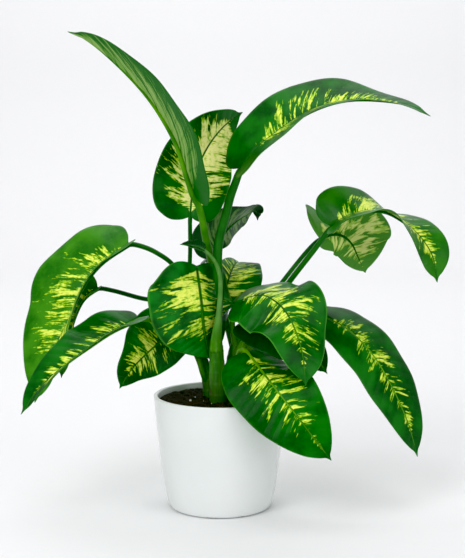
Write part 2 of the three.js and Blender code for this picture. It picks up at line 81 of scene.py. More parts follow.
# A leaf's stalk runs from its foot to the blade, and radii are the stalk's. Each point of the midrib holds
# x, y, z, the roll of the blade about it and the rise of its two halves, both in degrees. wave is how far
# the margins wave, and droop how far they hang, as a part of the half width.
LEAVES = {
    "leaf_top_left": {
        "half_width": 42, "radii": [4, 4.4, 4.8, 4.2, 4], "wave": 0.8,
        "stalk": [[15, 12, 178], [10, 20, 198], [3, 24, 222], [-5, 27, 248], [-8, 27, 267], [-12.5, 11, 290],
            [-16.5, -5, 309], [-20, -12, 331]],
        "midrib": [[-26, -15, 351, 262, 22], [-34, -20, 376, 262, 24], [-46, -26, 412, 262, 24],
            [-75, -34, 459, 262, 24], [-115, -40, 500, 258, 24], [-144, -42, 522, 250, 22],
            [-162, -42, 530, 235, 15]],
    },
    "leaf_top_back": {
        "half_width": 49, "right_width": 0.82, "droop": 0.05, "radii": [4.6, 2.8, 2.6], "wave": 1.2,
        "stalk": [[-24, 13, 173], [-30, 21, 192], [-33, 28, 212], [-35, 31, 250], [-34, 30, 290]],
        "midrib": [[-34, 28, 327, -4, 8], [-31, 32, 357, -8, 12], [-22, 40, 390, -18, 12],
            [-7, 50, 416, -30, 12], [11, 60, 435, -40, 10], [26, 66, 445, -30, 5]],
    },
    "leaf_top_right": {
        "half_width": 50, "radii": [3.6, 3.4, 5, 5.6, 5.4, 4.6], "wave": 0.8,
        "stalk": [[-3.5, -10, 172], [-2, -4, 192], [-2, -5, 212], [0, -6, 242], [-3, 0, 283], [-1, 4, 305],
            [5, 4, 327], [11, 3, 351], [18, 1, 370]],
        "midrib": [[22, 0, 383, 66, 14], [39, -2, 404, 64, 17], [63, -4, 424, 64, 19], [97, -4, 446, 68, 19],
            [138, -2, 458, 72, 16], [187, 0, 456, 80, 8], [213, 0, 450, 75, 6], [233, 0, 440, 60, 5]],
    },
    "leaf_shaded_back": {
        "half_width": 30, "right_width": 1.2, "radii": [4, 2.8, 2.6], "wave": 0.8,
        "stalk": [[-21, 13, 166], [-21, 22, 190], [-20, 28, 215], [-17, 33, 250]],
        "midrib": [[-14, 30, 278, 118, 40], [-2, 46, 299, 122, 20], [13, 66, 315, 118, -8],
            [30, 86, 325, 116, -10], [42, 98, 329, 116, -6], [44, 100, 317, 150, 0]],
    },
    "leaf_rolled": {
        "half_width": 9, "radii": [8.1, 6, 3.7, 3, 2.6, 2.3, 2], "wave": 0.3,
        "stalk": [[-4, -13, 180], [-3.5, -14, 196], [-2, -15, 211], [0, -16.5, 234], [1, -17, 256],
            [-1, -18, 271], [-7, -20, 284]],
        "midrib": [[-17, -22, 295, -60, 15], [-23, -22, 298, -60, 12], [-32, -20, 299, -65, 20],
            [-44, -18, 300, -75, 25]],
    },
    "leaf_middle_front": {
        "half_width": 60, "droop": 0.12, "radii": [4.6, 3, 2.8], "wave": 1.4,
        "stalk": [[-23, 12, 167], [-26, 8, 188], [-27, 6, 210], [-29, 4, 240], [-29, 0, 264]],
        "midrib": [[-26, -5, 275, 50, 2], [-23, -11, 256, 46, -6], [-20, -19, 235, 38, -12],
            [-18, -17, 210, 34, -12], [-15, -6, 188, 34, -8], [-11, -2, 168, 30, 0]],
    },
    "leaf_middle_back": {
        "half_width": 40, "left_width": 0.45, "droop": 0.05, "radii": [4.2, 2.6, 2.4], "wave": 1.2,
        "facing": TILTED,
        "stalk": [[20, 16, 178], [9, 26, 196], [3, 32, 211]],
        "midrib": [[2, 38, 227, -30, 20], [8, 58, 247, -20, 22], [14, 82, 262, -10, 20],
            [20, 104, 267, -6, 16], [26, 124, 262, -6, 8]],
    },
    "leaf_front_right": {
        "half_width": 50, "right_width": 0.92, "droop": 0.06, "radii": [4.8, 3, 2.8], "wave": 1,
        "stalk": [[20, 11, 176], [15, 4, 196], [14, -1, 215]],
        "midrib": [[16, -4, 232, 76, -8], [32, -12, 241, 78, -9], [48, -26, 245, 66, -11],
            [59, -38, 241, 36, -8], [71, -50, 231, 18, -4], [82, -66, 211, 38, -3], [89, -80, 186, 30, -2],
            [92, -88, 155, 10, 0]],
    },
    "leaf_below_right": {
        "half_width": 36, "left_width": 0.74, "right_width": 0.88, "radii": [4.2, 2.6, 2.4], "wave": 1.2,
        "stalk": [[18, 9, 158], [25, -1, 176], [27, -4, 190], [25, -3, 202]],
        "midrib": [[24, -3, 211, 60, -2], [47, -15, 210, 40, -2], [77, -30, 200, 30, -4],
            [102, -42, 183, 20, -4], [118, -46, 160, 10, 0]],
    },
    "leaf_over_pot": {
        "half_width": 44, "left_width": 0.93, "right_width": 1.06, "droop": 0.06, "radii": [4.4, 3, 2.8],
        "wave": 1.4,
        "stalk": [[16, 9, 142], [19, -4, 166], [23, -22, 183]],
        "midrib": [[31, -38, 183, 38, -18], [46, -64, 167, 32, -14], [66, -84, 144, 14, 0],
            [86, -96, 120, 8, 2], [104, -102, 97, 6, 2], [119, -103, 78, 0, 0]],
    },
    "leaf_right": {
        "half_width": 42, "left_width": 1.14, "right_width": 0.9, "droop": 0.05,
        "radii": [9, 10, 6, 2.8, 2.6], "wave": 0.8,
        "stalk": [[18, 8, 160], [27, 7, 180], [46, 6, 201], [84, 14, 224]],
        "midrib": [[115, 14, 217, 64, -6], [144, 4, 202, 57, -5], [172, -6, 174, 50, -4],
            [194, -14, 137, 45, -4], [211, -18, 98, 42, -2], [222, -18, 60, 36, 0]],
    },
    "leaf_far_right_upper": {
        "half_width": 46, "radii": [4.6, 3.6, 3.4], "wave": 0.8,
        "stalk": [[20, 12, 176], [32, 19, 195], [55, 25, 222], [84, 24, 261], [107, 12, 293]],
        "midrib": [[124, 4, 318, 50, 34], [138, 2, 328, 60, 30], [159, 0, 336, 76, 14], [183, -2, 336, 92, 2],
            [202, -5, 326, 84, 6], [220, -10, 310, 64, 10], [235, -14, 287, 40, 12], [241, -15, 257, 20, 2]],
    },
    "leaf_far_right_lower": {
        "half_width": 50, "left_width": 0.52, "right_width": 1.2, "radii": [4, 3, 2.8], "wave": 0.3,
        "stalk": [[19, 12, 170], [28, 23, 190], [50, 40, 222], [80, 57, 260], [103, 65, 287]],
        "midrib": [[115, 65, 299, 160, 10], [129, 65, 305, 140, -34], [142, 63, 303, 152, -14],
            [153, 59, 293, 158, -10], [159, 53, 279, 162, -4], [167, 44, 261, 165, 0]],
    },
    "leaf_far_left": {
        "half_width": 60, "left_width": 0.7, "right_width": 1.1, "droop": 0.04, "radii": [4, 3, 3],
        "wave": 1.2,
        "stalk": [[-22, 12, 162], [-30, 15, 190], [-37, 20, 227], [-51, 17, 271], [-71, 10, 288],
            [-86, 4, 295.5]],
        "midrib": [[-102, -2, 300, -70, 18], [-133, -9, 278, -68, 24], [-154, -16, 250, -60, 28],
            [-168, -22, 216, -58, 26], [-187, -28, 177, -50, 15], [-205, -33, 125, -36, 4]],
    },
    "leaf_lower_left": {
        "half_width": 39, "left_width": 0.6, "radii": [4.2, 3, 2.8], "wave": 0.8,
        "stalk": [[-17, 10, 148], [-25, 0, 171], [-38, -13, 197], [-64, -25, 214]],
        "midrib": [[-89, -40, 221, -72, 12], [-115, -72, 212, -74, 18], [-137, -96, 199, -74, 23],
            [-164, -110, 180, -70, 20], [-190, -116, 156, -60, 12], [-207, -118, 131, -40, 3]],
    },
    "leaf_left_small": {
        "half_width": 30, "left_width": 0.6, "right_width": 1.2, "radii": [4, 3, 2.8], "wave": 1,
        "stalk": [[-18, 12, 150], [-30, 25, 178], [-43, 38, 206], [-69, 44, 227], [-92, 44, 232],
            [-120, 43, 240]],
        "midrib": [[-141, 40, 245, -52, 28], [-156, 36, 234, -58, 28], [-167, 34, 212, -58, 26],
            [-175, 32, 179, -50, 14], [-183, 28, 141, -30, 2]],
    },
    "leaf_front_left": {
        "half_width": 38, "left_width": 0.8, "right_width": 1.08, "droop": 0.04, "radii": [4.2, 2.6, 2.4],
        "wave": 1,
        "stalk": [[-15, 9, 140], [-21, 2, 157], [-26, 0, 174], [-33, 2, 191]],
        "midrib": [[-44, 5, 202, 0, 2], [-65, -4, 190, 6, 4], [-83, -14, 176, 18, 8], [-99, -24, 160, 40, 6],
            [-111, -32, 141, 40, 0]],
    },
}

# ---- leaves ----------------------------------------------------------------------------------------

# Half of a blade's outline from base to tip: the place along the blade and the distance from the
# midrib, as parts of its length and half width, and where on the midrib the vein that ends there starts.
OUTLINE = [
    [0, 0, 0], [-0.03, 0.22, 0.01], [-0.03, 0.5, 0.03], [0.045, 0.8, 0.07], [0.19, 0.97, 0.14],
    [0.36, 1, 0.27], [0.54, 0.92, 0.43], [0.72, 0.71, 0.61], [0.86, 0.43, 0.78],
    [0.935, 0.19, 0.89], [0.965, 0.06, 0.95], [1, 0, 1],
]
OUTLINE_STRETCH = 2.2  # how much longer than wide the half outline is drawn while it is smoothed
SWEEP = 1.15  # how the side veins bend towards the tip

BLADE = {
    "along": 150, "across": 17, "crowding": 1.35, "margin": 0.35, "thickness": 0.5,
    "waves": 3.5, "wave_shift": 1.1, "veins": 15, "quilting": 0.5, "groove": 0.9, "groove_width": 1.9,
}
STALK = {
    "sides": 20, "step": 2.5, "rib_start": 0.85, "rib_end": 0.93, "rib_tip": 0.25,
    "channel": 0.22, "rounds_of_smoothing": 4,
}


# ---- curves ----------------------------------------------------------------------------------------


class Line:
    """A smooth line through points, read by the part of its length that lies behind a place."""

    def __init__(self, points, steps=40):
        p = np.array(points, float)
        ends = np.vstack([2 * p[0] - p[1], p, 2 * p[-1] - p[-2]])
        places, knots = [], []
        for i in range(1, len(ends) - 2):
            p0, p1, p2, p3 = ends[i - 1 : i + 3]
            d0, d1, d2 = (np.linalg.norm(b - a) ** 0.5 for a, b in ((p0, p1), (p1, p2), (p2, p3)))
            t1 = ((p1 - p0) / d0 - (p2 - p0) / (d0 + d1) + (p2 - p1) / d1) * d1
            t2 = ((p2 - p1) / d1 - (p3 - p1) / (d1 + d2) + (p3 - p2) / d2) * d1
            last = i == len(ends) - 3
            for t in np.arange(steps + last) / steps:
                cubic = (2 * (p1 - p2) + t1 + t2) * t**3 + (3 * (p2 - p1) - 2 * t1 - t2) * t**2
                places.append(p1 + t1 * t + cubic)
                knots.append(i - 1 + t)
        self.places = np.array(places)
        self.knots = np.array(knots)
        steps_long = np.linalg.norm(np.diff(self.places, axis=0), axis=1)
        self.length = steps_long.sum()
        self.parts = np.r_[0, np.cumsum(steps_long)] / self.length
        self.ways = np.gradient(self.places, self.parts, axis=0)

    def place(self, part):
        return np.stack([np.interp(part, self.parts, v) for v in self.places.T], -1)

    def way(self, part):
        return unit(np.stack([np.interp(part, self.parts, v) for v in self.ways.T], -1))

    def knot(self, part):
        return np.interp(part, self.parts, self.knots)


def unit(vectors):
    return vectors / np.maximum(np.linalg.norm(vectors, axis=-1, keepdims=True), 1e-12)


def between(values, place):
    """A smooth value between numbers that stand at 0, 1, 2 ..."""
    v = np.array(values, float)
    last = len(v) - 1
    i = np.clip(np.floor(place).astype(int), 0, last - 1)
    f = np.clip(place - i, 0, 1)
    a, b, c, d = v[np.maximum(i - 1, 0)], v[i], v[i + 1], v[np.minimum(i + 2, last)]
    rise, fall = (c - a) / 2, (d - b) / 2
    return b + rise * f + (3 * (c - b) - 2 * rise - fall) * f**2 + (2 * (b - c) + rise + fall) * f**3


# ---- meshes ----------------------------------------------------------------------------------------


def piece(name, points, faces, nodes=(), fields=None, slots_of_faces=None):
    """A smooth mesh from points in millimetres, riding with the part."""
    mesh = bpy.data.meshes.new(name)
    mesh.from_pydata((np.array(points) * MM).tolist(), [], [list(map(int, f)) for f in faces])
    for field, values in (fields or {}).items():
        mesh.attributes.new(field, "FLOAT", "POINT").data.foreach_set("value", np.array(values, "f"))
    if slots_of_faces is not None:
        mesh.polygons.foreach_set("material_index", np.array(slots_of_faces, "i"))
    mesh.polygons.foreach_set("use_smooth", np.ones(len(mesh.polygons), bool))
    mesh.update()
    made = bpy.data.objects.new(name, mesh)
    bpy.context.scene.collection.objects.link(made)
    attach(made, "root")
    if nodes:
        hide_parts(*nodes)
    return made


def tube(centres, radii, sides, inner=None, channel=0.0):
    """Rings round a line of centres, closed at both ends. channel hollows the side that inner looks to."""
    ways = unit(np.gradient(centres, axis=0))
    across = np.array([1.0, 0, 0])
    rings = []
    for centre, way, radius in zip(centres, ways, radii):
        across = unit(across - across.dot(way) * way)
        third = np.cross(way, across)
        turns = np.arange(sides) * 2 * math.pi / sides
        round_about = np.outer(np.cos(turns), across) + np.outer(np.sin(turns), third)
        reach = np.full(sides, radius)
        if channel:
            look = unit(inner - inner.dot(way) * way)
            closeness = np.clip(round_about @ look, 0, 1)
            reach = radius * (1 - channel * closeness**6)
        rings.append(centre + round_about * reach[:, None])
    points = np.vstack([*rings, centres[:1], centres[-1:]])
    count = len(centres)
    faces = []
    for i in range(count - 1):
        for k in range(sides):
            a, b = i * sides + k, i * sides + (k + 1) % sides
            faces.append([a, b, b + sides, a + sides])
    foot, tip = count * sides, count * sides + 1
    for k in range(sides):
        m = (k + 1) % sides
        faces.append([foot, m, k])
        faces.append([tip, (count - 1) * sides + k, (count - 1) * sides + m])
    return points, faces


# ---- leaf shapes -----------------------------------------------------------------------------------


class Leaf:
    """The place, sideways way, upper way and rise of the halves at a part of the blade's length."""

    def __init__(self, facts):
        self.facts = facts
        self.midrib = Line([p[:3] for p in facts["midrib"]])
        self.rolls = [p[3] for p in facts["midrib"]]
        self.rises = [p[4] for p in facts["midrib"]]
        self.length = self.midrib.length

    def frame_at(self, part):
        inside = np.clip(part, 0, 1)
        knot = self.midrib.knot(inside)
        along = self.midrib.way(inside)
        place = self.midrib.place(inside) + along * (part - inside)[..., None] * self.length
        left = unit(np.cross(along, np.array(self.facts.get("facing", [0, 1, 0]), float)))
        back = np.cross(left, along)
        roll = np.radians(between(self.rolls, knot))[..., None]
        side = np.cos(roll) * left + np.sin(roll) * back
        up = np.sin(roll) * left - np.cos(roll) * back
        return place, side, up, np.radians(between(self.rises, knot))

    def surface(self, edge, hand, reach):
        """Points of the middle surface and their distance from the midrib."""
        along, out, start = edge
        part = start + (along - start) * reach**SWEEP
        share = self.facts.get("left_width" if hand > 0 else "right_width", 1)
        ratio = out * share * reach
        half_width = self.facts["half_width"]
        distance = ratio * half_width
        place, side, up, rise = self.frame_at(part)
        turns = BLADE["waves"] * 2 * math.pi * part + BLADE["wave_shift"] * hand
        wave = self.facts["wave"] * np.sin(turns) * ratio**2
        droop = self.facts.get("droop", 0) * half_width * ratio**2
        lift = np.sin(rise) * distance - droop + wave
        return place + side * (hand * np.cos(rise) * distance)[..., None] + up * lift[..., None], distance


def outline_stations(count):
    """The blade's half outline, smoothed and read at even steps."""
    stretched = np.array(OUTLINE, float) * [OUTLINE_STRETCH, 1, 1]
    stations = Line(stretched).place(np.linspace(0, 1, count + 1))
    return stations / [OUTLINE_STRETCH, 1, 1]


def blade(leaf):
    """A thin closed blade with quilted veins and a grooved midrib: its points, its faces and what the
    colours read at each point. That is where on the midrib its vein starts, how far from the midrib it
    lies in mm and as a part of the half's width, and whether it is on the underside."""
    rows, columns = BLADE["along"], BLADE["across"]
    edges = outline_stations(rows)
    inner = 1 - BLADE["margin"] / leaf.facts["half_width"]
    reaches = np.append(np.linspace(0, 1, columns) ** BLADE["crowding"] * inner, 1)
    grid = np.zeros((2, rows + 1, columns + 1), int)
    points, veins, spans, reached = [], [], [], []
    for h, hand in enumerate((1, -1)):
        i, j = np.meshgrid(np.arange(rows + 1), np.arange(columns + 1), indexing="ij")
        edge = [edges[i, k] for k in range(3)]
        places, distance = leaf.surface(edge, hand, reaches[j])
        for row in range(rows + 1):
            for column in range(columns + 1):
                if h and column == 0:
                    grid[h, row, column] = grid[0, row, 0]
                elif row in (0, rows) and column:
                    grid[h, row, column] = grid[0, row, 0]
                else:
                    grid[h, row, column] = len(points)
                    points.append(places[row, column])
                    veins.append(edges[row, 2])
                    spans.append(hand * distance[row, column])
                    reached.append(reaches[column])
    points, veins, spans, reached = map(np.array, (points, veins, spans, reached))
    quads = []
    for h in range(2):
        for row in range(rows):
            for column in range(columns):
                a, b = grid[h, row, column], grid[h, row + 1, column]
                c, d = grid[h, row + 1, column + 1], grid[h, row, column + 1]
                face = [a, b, c, d] if h == 0 else [d, c, b, a]
                quads.append(list(dict.fromkeys(face)))
    quads = [q for q in quads if len(q) > 2]
    normals = np.zeros_like(points)
    for q in quads:
        normal = np.cross(points[q[1]] - points[q[0]], points[q[2]] - points[q[0]])
        normal += np.cross(points[q[-2]] - points[q[0]], points[q[-1]] - points[q[0]]) * (len(q) > 3)
        for k in q:
            normals[k] += normal
    normals = unit(normals)
    rim = np.isclose(reached, 1) | np.isin(np.arange(len(points)), [grid[0, 0, 0], grid[0, rows, 0]])
    swell = 1 - np.cos(2 * math.pi * BLADE["veins"] * veins)
    middle = np.sin(math.pi * np.clip(reached, 0, 1)) ** 0.7 * (1 - veins) ** 0.3
    relief = BLADE["quilting"] * 0.5 * swell * middle
    groove = BLADE["groove"] * np.exp(-((spans / BLADE["groove_width"]) ** 2)) * (1 - veins) ** 0.5
    half = np.where(rim, 0, BLADE["thickness"] / 2)
    upper = points + normals * (half + np.where(rim, 0, relief - groove))[:, None]
    lower = points - normals * (half - np.where(rim, 0, relief - groove))[:, None]
    under = np.arange(len(points))
    under[~rim] = len(points) + np.arange((~rim).sum())
    faces = quads + [[under[k] for k in reversed(q)] for q in quads]
    kept = ~rim
    return (
        np.vstack([upper, lower[kept]]),
        faces,
        {
            "vein": np.r_[veins, veins[kept]] * leaf.length,
            "span": np.r_[spans, spans[kept]],
            "reach": np.r_[reached, reached[kept]],
            "under": np.r_[np.where(rim, 0.5, 0), np.ones(kept.sum())],
        },
    )


def stalk(leaf):
    """The channelled stalk, and the rib that it runs on into under the blade."""
    facts = leaf.facts
    narrow = facts["radii"][-1]
    route = Line([*facts["stalk"], facts["midrib"][0][:3]])
    parts = np.linspace(0, 1, max(8, round(route.length / STALK["step"])))[:-1]
    radii = between(facts["radii"], parts * (len(facts["radii"]) - 1))
    rib_parts = np.linspace(0, STALK["rib_end"], round(leaf.length * STALK["rib_end"] / STALK["step"]))
    thick = narrow * STALK["rib_start"]
    rib_radii = STALK["rib_tip"] + (thick - STALK["rib_tip"]) * (1 - rib_parts / STALK["rib_end"])
    place, _, up, _ = leaf.frame_at(rib_parts)
    sunk = place - up * np.maximum(rib_radii * 0.95 - 0.1, 0)[:, None]
    centres = np.vstack([route.place(parts), sunk])
    for _ in range(STALK["rounds_of_smoothing"]):
        centres[1:-1] = centres[1:-1] * 0.5 + (centres[:-2] + centres[2:]) * 0.25
    inner = np.array([-facts["midrib"][0][0] * 0.01, 0, 1.0])
    return tube(centres, np.r_[radii, rib_radii], STALK["sides"], inner, STALK["channel"])


def leaf_piece(name, facts):
    """A blade and its stalk in one piece."""
    leaf = Leaf(facts)
    points, faces, fields = blade(leaf)
    stalk_points, stalk_faces = stalk(leaf)
    count = len(points)
    for field, values in fields.items():
        fields[field] = np.r_[values, np.zeros(len(stalk_points))]
    faces_of_stalk = [[k + count for k in face] for face in stalk_faces]
    made = piece(
        name.replace("leaf_", "") + "_leaf",
        np.vstack([points, stalk_points]),
        faces + faces_of_stalk,
        nodes=[name],
        fields=fields,
        slots_of_faces=[0] * len(faces) + [1] * len(stalk_faces),
    )
    made.data.materials.append(leaf_skin(name, LOOKS[name]))
    made.data.materials.append(stalk_skin(name, LOOKS[name]))


# ---- pot, soil and canes ---------------------------------------------------------------------------


def side_radius(z):
    """The pot's outer radius at a height."""
    span = POT["rim_radius"] - POT["foot_radius"]
    return POT["foot_radius"] + span * (max(z, 0) / POT["height"]) ** POT["bulge"]


def soil_radius(z):
    """The soil's radius at a height, just clear of the pot's wall."""
    return side_radius(z) - POT["wall"] - SOIL["clearance"]


def turned(outline, sides):
    """A closed body turned about Z from an outline that starts and ends on the axis."""
    turns = np.arange(sides) * 2 * math.pi / sides
    inner = outline[1:-1]
    points = [[0, 0, outline[0][1]], [0, 0, outline[-1][1]]]
    for r, z in inner:
        points += [[r * math.cos(t), r * math.sin(t), z] for t in turns]
    faces = []
    for k in range(sides):
        m = (k + 1) % sides
        faces.append([0, 2 + m, 2 + k])
        last = 2 + (len(inner) - 1) * sides
        faces.append([1, last + k, last + m])
        for i in range(len(inner) - 1):
            a, b = 2 + i * sides + k, 2 + i * sides + m
            faces.append([a, b, b + sides, a + sides])
    return np.array(points, float), faces


def pot_piece():
    """The pot, its rounded rim and the notches under its foot."""
    height, wall, lip, rounding = POT["height"], POT["wall"], POT["lip"], POT["rounding"]
    outline = [[0, 0], [30, 0], [side_radius(0) - rounding, 0]]
    for turn in (22.5, 45, 67.5):
        t = math.radians(turn)
        rise = POT["rounding_height"] * (1 - math.cos(t))
        outline.append([side_radius(0) - rounding * (1 - math.sin(t)), rise])
    rows, lowest = POT["rows"], 1.8
    heights = [lowest + (height - lip - lowest) * (i / rows) ** 1.3 for i in range(rows + 1)]
    outline += [[side_radius(z), z] for z in heights]
    middle = POT["rim_radius"] - wall / 2
    for turn in range(15, 180, 15):
        t = math.radians(turn)
        outline.append([middle + wall / 2 * math.cos(t), height - lip + lip * math.sin(t)])
    inside = [z for z in heights if z > 12]
    outline += [[side_radius(z) - wall, z] for z in reversed(inside)]
    foot = side_radius(POT["floor"]) - wall - 4
    outline += [[foot + 2.5, POT["floor"] + 2], [foot, POT["floor"]], [0, POT["floor"]]]
    points, faces = turned(outline, POT["sides"])
    radius = np.hypot(points[:, 0], points[:, 1])
    angle = np.degrees(np.arctan2(points[:, 1], points[:, 0]))
    low = (points[:, 2] < NOTCH["depth"]) & (radius > side_radius(0) - 5)
    for centre in NOTCH["angles"]:
        for hand in (-0.5, 0.5):
            away = (angle - centre - hand * NOTCH["apart"] + 180) % 360 - 180
            cut = low & (np.abs(np.radians(away)) * radius < NOTCH["width"] / 2)
            points[cut, 2] = NOTCH["depth"]
    made = piece("white_pot", points, faces, nodes=["pot"])
    made.data.materials.append(glaze())


def crumbs(x, y):
    """The crumbly top of the soil."""
    waves = 0.5 * math.sin(0.31 * x + 1.2 * math.sin(0.17 * y))
    waves += 0.35 * math.cos(0.37 * y - 0.9 * math.sin(0.23 * x))
    waves += 0.3 * math.sin(0.71 * x + 0.63 * y)
    lumps = 0
    for size, height in ((9, 2.4), (4.2, 1.7), (2.1, 0.8)):
        near, _ = noise.voronoi(Vector((x / size, y / size, size)))
        lumps += height * (0.55 - min(near[0], 1.1))
    return SOIL["relief"] * waves + lumps + 0.5 * noise.noise(Vector((x / 1.6, y / 1.6, 3)))


def soil_height(x, y):
    """The height of the soil's top, which sinks a little towards the pot's wall."""
    edge = min(1, max(0, (soil_radius(SOIL["level"]) - math.hypot(x, y)) / 9))
    return SOIL["level"] + (0.35 + 0.65 * edge) * crumbs(x, y) - 1.8 * (1 - edge)


def soil_piece():
    """The soil, from the pot's floor up to its crumbly top."""
    rim = soil_radius(SOIL["level"])
    bottom = POT["floor"] + 0.4
    outline = [[0, bottom], [side_radius(POT["floor"]) - POT["wall"] - 5.5, bottom]]
    outline += [[soil_radius(z), z] for z in (16, 34, 60, 92, 114)]
    rings = SOIL["rings"]
    outline += [[rim * (1 - i / rings), SOIL["level"]] for i in range(rings)]
    outline.append([0, SOIL["level"]])
    points, faces = turned(outline, SOIL["sides"])
    top = np.where(points[:, 2] > SOIL["level"] - 1)[0]
    for k in top:
        points[k, 2] = soil_height(points[k, 0], points[k, 1])
    made = piece("potting_soil", points, faces, nodes=["soil"])
    made.data.materials.append(potting_mix())


def perlite_piece():
    """White mineral grains that lie in the soil's top."""
    rng = np.random.default_rng(GRAINS["seed"])
    bm = bmesh.new()
    spots = [(-33, -20, 1.3)]
    while len(spots) < GRAINS["count"]:
        radius, turn = GRAINS["spread"] * math.sqrt(rng.random()), rng.random() * 2 * math.pi
        spots.append((radius * math.cos(turn), radius * math.sin(turn), 0.5 + 0.5 * rng.random()))
    for x, y, size in spots:
        made = bmesh.ops.create_icosphere(bm, subdivisions=2, radius=size)
        for v in made["verts"]:
            bump = 1 + 0.35 * noise.noise(v.co * 0.9 + Vector((x, y, 0)))
            v.co = v.co * bump + Vector((x, y, soil_height(x, y) + 0.15 * size))
    points = [list(v.co) for v in bm.verts]
    faces = [[v.index for v in f.verts] for f in bm.faces]
    bm.free()
    grains = piece("perlite", points, faces)
    grains.data.materials.append(perlite())


def cane_piece(name, facts):
    """A thick stem with the scars of old leaves round it."""
    line = Line(facts["path"])
    rings = round(line.length / 1.2)
    parts = np.linspace(0, 1, rings + 1)
    radii = between(facts["radii"], parts * (len(facts["radii"]) - 1))
    apart = SCARS["apart"]
    scar = np.exp(-((((parts * line.length) % apart) - SCARS["first"]) / SCARS["half_width"]) ** 2)
    swell = 1 + SCARS["swell"] * np.sin(parts * line.length / apart * 2 * math.pi)
    radii = radii * swell + SCARS["height"] * scar - 0.2
    points, faces = tube(line.place(parts), radii, 40)
    made = piece(name.replace("cane_", "") + "_cane", points, faces, nodes=[name])
    made.data.materials.append(cane_skin())


# ---- finishes --------------------------------------------------------------------------------------


class Shading:
    """Adds nodes to a node tree and joins them."""

    def __init__(self, tree):
        self.tree = tree

    def add(self, kind, inputs=None, **settings):
        made = self.tree.nodes.new(kind)
        for name, value in settings.items():
            setattr(made, name, value)
        for socket, value in (inputs or {}).items():
            if isinstance(value, bpy.types.NodeSocket):
                self.tree.links.new(value, made.inputs[socket])
            else:
                made.inputs[socket].default_value = value
        return made

    def math(self, operation, a, b=0.0, c=0.0):
        made = self.add("ShaderNodeMath", {0: a, 1: b, 2: c}, operation=operation)
        return made.outputs[0]

    def smooth(self, value, low, high):
        """0 below low, 1 above high, with a soft step between them."""
        inputs = {"Value": value, "From Min": low, "From Max": high}
        return self.add("ShaderNodeMapRange", inputs, interpolation_type="SMOOTHSTEP").outputs["Result"]

    def spread(self, value, low, high):
        """0 to 1 drawn out to low to high."""
        inputs = {"Value": value, "To Min": low, "To Max": high}
        return self.add("ShaderNodeMapRange", inputs).outputs["Result"]

    def mix(self, share, a, b):
        """The colour a where share is 0 and b where it is 1."""
        made = self.add("ShaderNodeMix", {"Factor": share}, data_type="RGBA")
        for socket, value in ((made.inputs[6], a), (made.inputs[7], b)):
            if isinstance(value, bpy.types.NodeSocket):
                self.tree.links.new(value, socket)
            else:
                socket.default_value = (*value, 1)
        return made.outputs[2]

    def field(self, name):
        return self.add("ShaderNodeAttribute", attribute_name=name).outputs["Fac"]

    def point(self, x, y, z):
        return self.add("ShaderNodeCombineXYZ", {0: x, 1: y, 2: z}).outputs[0]

    def noise(self, vector, scale=1.0, detail=2.0, roughness=0.5, distortion=0.0):
        inputs = {"Vector": vector, "Scale": scale, "Detail": detail, "Roughness": roughness,
                  "Distortion": distortion}
        return self.add("ShaderNodeTexNoise", inputs).outputs["Fac"]

    def place(self):
        return self.add("ShaderNodeTexCoord").outputs["Object"]


def node_group(name, inputs, outputs):
    """A node group with named inputs and outputs, and the nodes that stand for them inside it."""
    tree = bpy.data.node_groups.new(name, "ShaderNodeTree")
    for socket, value in inputs.items():
        made = tree.interface.new_socket(socket, in_out="INPUT", socket_type="NodeSocketFloat")
        made.default_value = value
    for socket in outputs:
        tree.interface.new_socket(socket, in_out="OUTPUT", socket_type="NodeSocketFloat")
    shade = Shading(tree)
    return tree, shade, shade.add("NodeGroupInput").outputs, shade.add("NodeGroupOutput")


